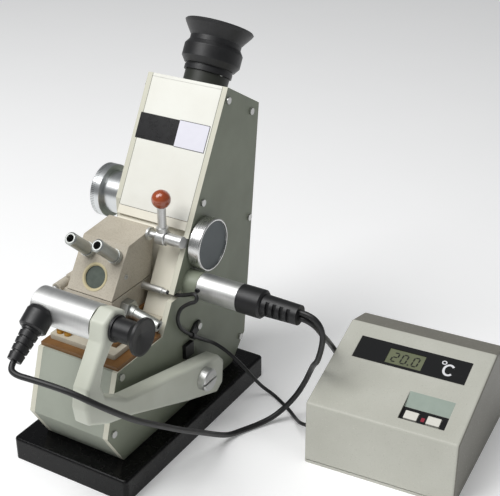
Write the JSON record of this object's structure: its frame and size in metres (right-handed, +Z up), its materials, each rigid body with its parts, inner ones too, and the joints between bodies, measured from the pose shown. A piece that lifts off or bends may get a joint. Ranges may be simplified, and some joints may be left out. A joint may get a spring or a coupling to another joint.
{
  "type": "abbe refractometer",
  "caption": "Bench refractometer with hinged prism boxes, swinging lamp arm, tilted eyepiece, side dials and a separate thermometer box joined by leads.",
  "frame": {"origin": "centre of the underside of the base plate", "axes": "+Z up, -Y towards the user, +X to the right of the user"},
  "size_m": [0.3225, 0.2933, 0.3042],
  "materials": {
    "base_black": "gloss black enamel",
    "rubber_black": "matt rubber",
    "side_olive": "semi-gloss olive grey enamel",
    "cream": "semi-gloss cream enamel",
    "prism_grey": "fine textured warm grey enamel",
    "frame_cream": "semi-gloss cream enamel",
    "insulator": "paper laminate sheet",
    "satin_aluminium": "satin turned",
    "chrome": "plated",
    "steel": "ground steel",
    "brass": "machined brass",
    "black_plastic": "fine grained black",
    "ball_orange": "gloss moulded",
    "glass": "polished",
    "window_dark": "ground glass",
    "box_grey": "fine textured grey",
    "display_black": "dark window",
    "lcd": "liquid crystal display",
    "board_green": "solder resist",
    "button_grey": "matt moulded",
    "cord_black": "round flexible cord"
  },
  "bodies": {
    "instrument": {"base_plate": "base_black", "rubber_feet": "rubber_black", "side_plate_right": "side_olive", "side_plate_left": "side_olive", "case_screws": "steel", "tower_front_cover": "cream", "top_cap": "cream", "rear_cover": "side_olive", "lower_front_cover": "box_grey", "optical_frame": "frame_cream", "telescope_tube": "satin_aluminium", "telescope_optics": "glass", "eyepiece_collar": "side_olive", "insulating_sheets": "insulator", "prism_bed": "prism_grey", "lower_prism_box": "prism_grey", "main_prism": "glass", "hinge_pin": "steel", "lower_nozzles": "chrome", "probe_sleeve": "satin_aluminium", "lock_bearing": "satin_aluminium", "scale_lamp_collar": "side_olive", "scale_lamp_tube": "satin_aluminium", "scale_lamp_bulb": "glass", "scale_lamp_plug": "black_plastic", "arm_pivot_screw": "satin_aluminium", "cable_clip": "black_plastic", "box_cover": "box_grey", "box_base": "box_grey", "circuit_board": "board_green", "display_window": "display_black", "lcd_module": "lcd", "box_glands": "black_plastic", "lamp_lead": "cord_black", "supply_lead": "cord_black", "probe_lead": "cord_black"},
    "prism_lid": {"upper_prism_box": "prism_grey", "illuminating_prism": "glass", "prism_window": "window_dark", "upper_nozzles": "chrome"},
    "lock": {"lock_lever": "satin_aluminium", "lock_ball": "ball_orange"},
    "lamp_arm_body": {"lamp_arm": "cream", "arm_lamp_tube": "satin_aluminium", "arm_lamp_bulb": "glass", "arm_lamp_plug": "black_plastic"},
    "lamp_knob": {"arm_lamp_knob": "black_plastic"},
    "measuring_knob_body": {"measuring_knob": "chrome", "knob_pinion": "steel"},
    "scale": {"scale_sector": "brass", "scale_disc": "glass"},
    "dispersion": {"dispersion_dial": "satin_aluminium", "dispersion_pinion": "steel"},
    "upper_cell": {"compensator_cell_upper": "brass"},
    "lower_cell": {"compensator_cell_lower": "brass"},
    "eyepiece": {"eyepiece_barrel": "black_plastic", "eyepiece_lenses": "glass", "eyecup": "black_plastic"},
    "left_button": {"button_left": "button_grey"},
    "right_button": {"button_right": "button_grey"}
  },
  "joints": [
    {"name": "prism_open", "type": "hinge", "parent": "instrument", "child": "prism_lid", "pos_m": [-0.044, 0, 0.1255], "axis": [0, -1, 0], "range_deg": [0, 95]},
    {"name": "lock_lever_turn", "type": "hinge", "parent": "instrument", "child": "lock", "pos_m": [0.018, 0.0085, 0.1615], "axis": [1, 0, 0], "range_deg": [0, 60]},
    {"name": "lamp_arm_swing", "type": "hinge", "parent": "instrument", "child": "lamp_arm_body", "pos_m": [0.047, 0.0043, 0.0504], "axis": [1, 0, 0], "range_deg": [-12, 20], "deforming": ["lamp_lead"]},
    {"name": "lamp_clamp_knob_turn", "type": "hinge", "parent": "lamp_arm_body", "child": "lamp_knob", "pos_m": [0.06, -0.098, 0.15], "axis": [1, 0, 0], "range_deg": [-180, 180]},
    {"name": "measuring_knob_turn", "type": "hinge", "parent": "instrument", "child": "measuring_knob_body", "pos_m": [0.042, 0.033, 0.1515], "axis": [1, 0, 0], "range_deg": [-154, 154]},
    {"name": "scale_sector_turn", "type": "hinge", "parent": "instrument", "child": "scale", "pos_m": [0.0245, 0.06205, 0.10643], "axis": [1, 0, 0], "range_deg": [-18, 18]},
    {"name": "dispersion_dial_turn", "type": "hinge", "parent": "instrument", "child": "dispersion", "pos_m": [-0.06, 0.04877, 0.16629], "axis": [1, 0, 0], "continuous": true},
    {"name": "upper_cell_turn", "type": "hinge", "parent": "instrument", "child": "upper_cell", "pos_m": [0, 0.05252, 0.17279], "axis": [0, 0.5, 0.866], "continuous": true},
    {"name": "lower_cell_turn", "type": "hinge", "parent": "instrument", "child": "lower_cell", "pos_m": [0, 0.04502, 0.1598], "axis": [0, 0.5, 0.866], "continuous": true},
    {"name": "eyepiece_focus_turn", "type": "hinge", "parent": "instrument", "child": "eyepiece", "pos_m": [0, 0.09652, 0.249], "axis": [0, 0.5, 0.866], "range_deg": [-30, 30]},
    {"name": "left_button_press", "type": "slide", "parent": "instrument", "child": "left_button", "axis": [-0.019, 0.2628, -0.9647], "range_m": [0, 0.001], "stiffness_N_per_m": 300, "springref_m": -0.001},
    {"name": "right_button_press", "type": "slide", "parent": "instrument", "child": "right_button", "axis": [-0.019, 0.2628, -0.9647], "range_m": [0, 0.001], "stiffness_N_per_m": 300, "springref_m": -0.001}
  ],
  "couplings": [
    {"joint": "scale_sector_turn", "follows": "measuring_knob_turn", "ratio": -0.11667},
    {"joint": "upper_cell_turn", "follows": "dispersion_dial_turn", "ratio": 0.3},
    {"joint": "lower_cell_turn", "follows": "dispersion_dial_turn", "ratio": -0.3}
  ]
}
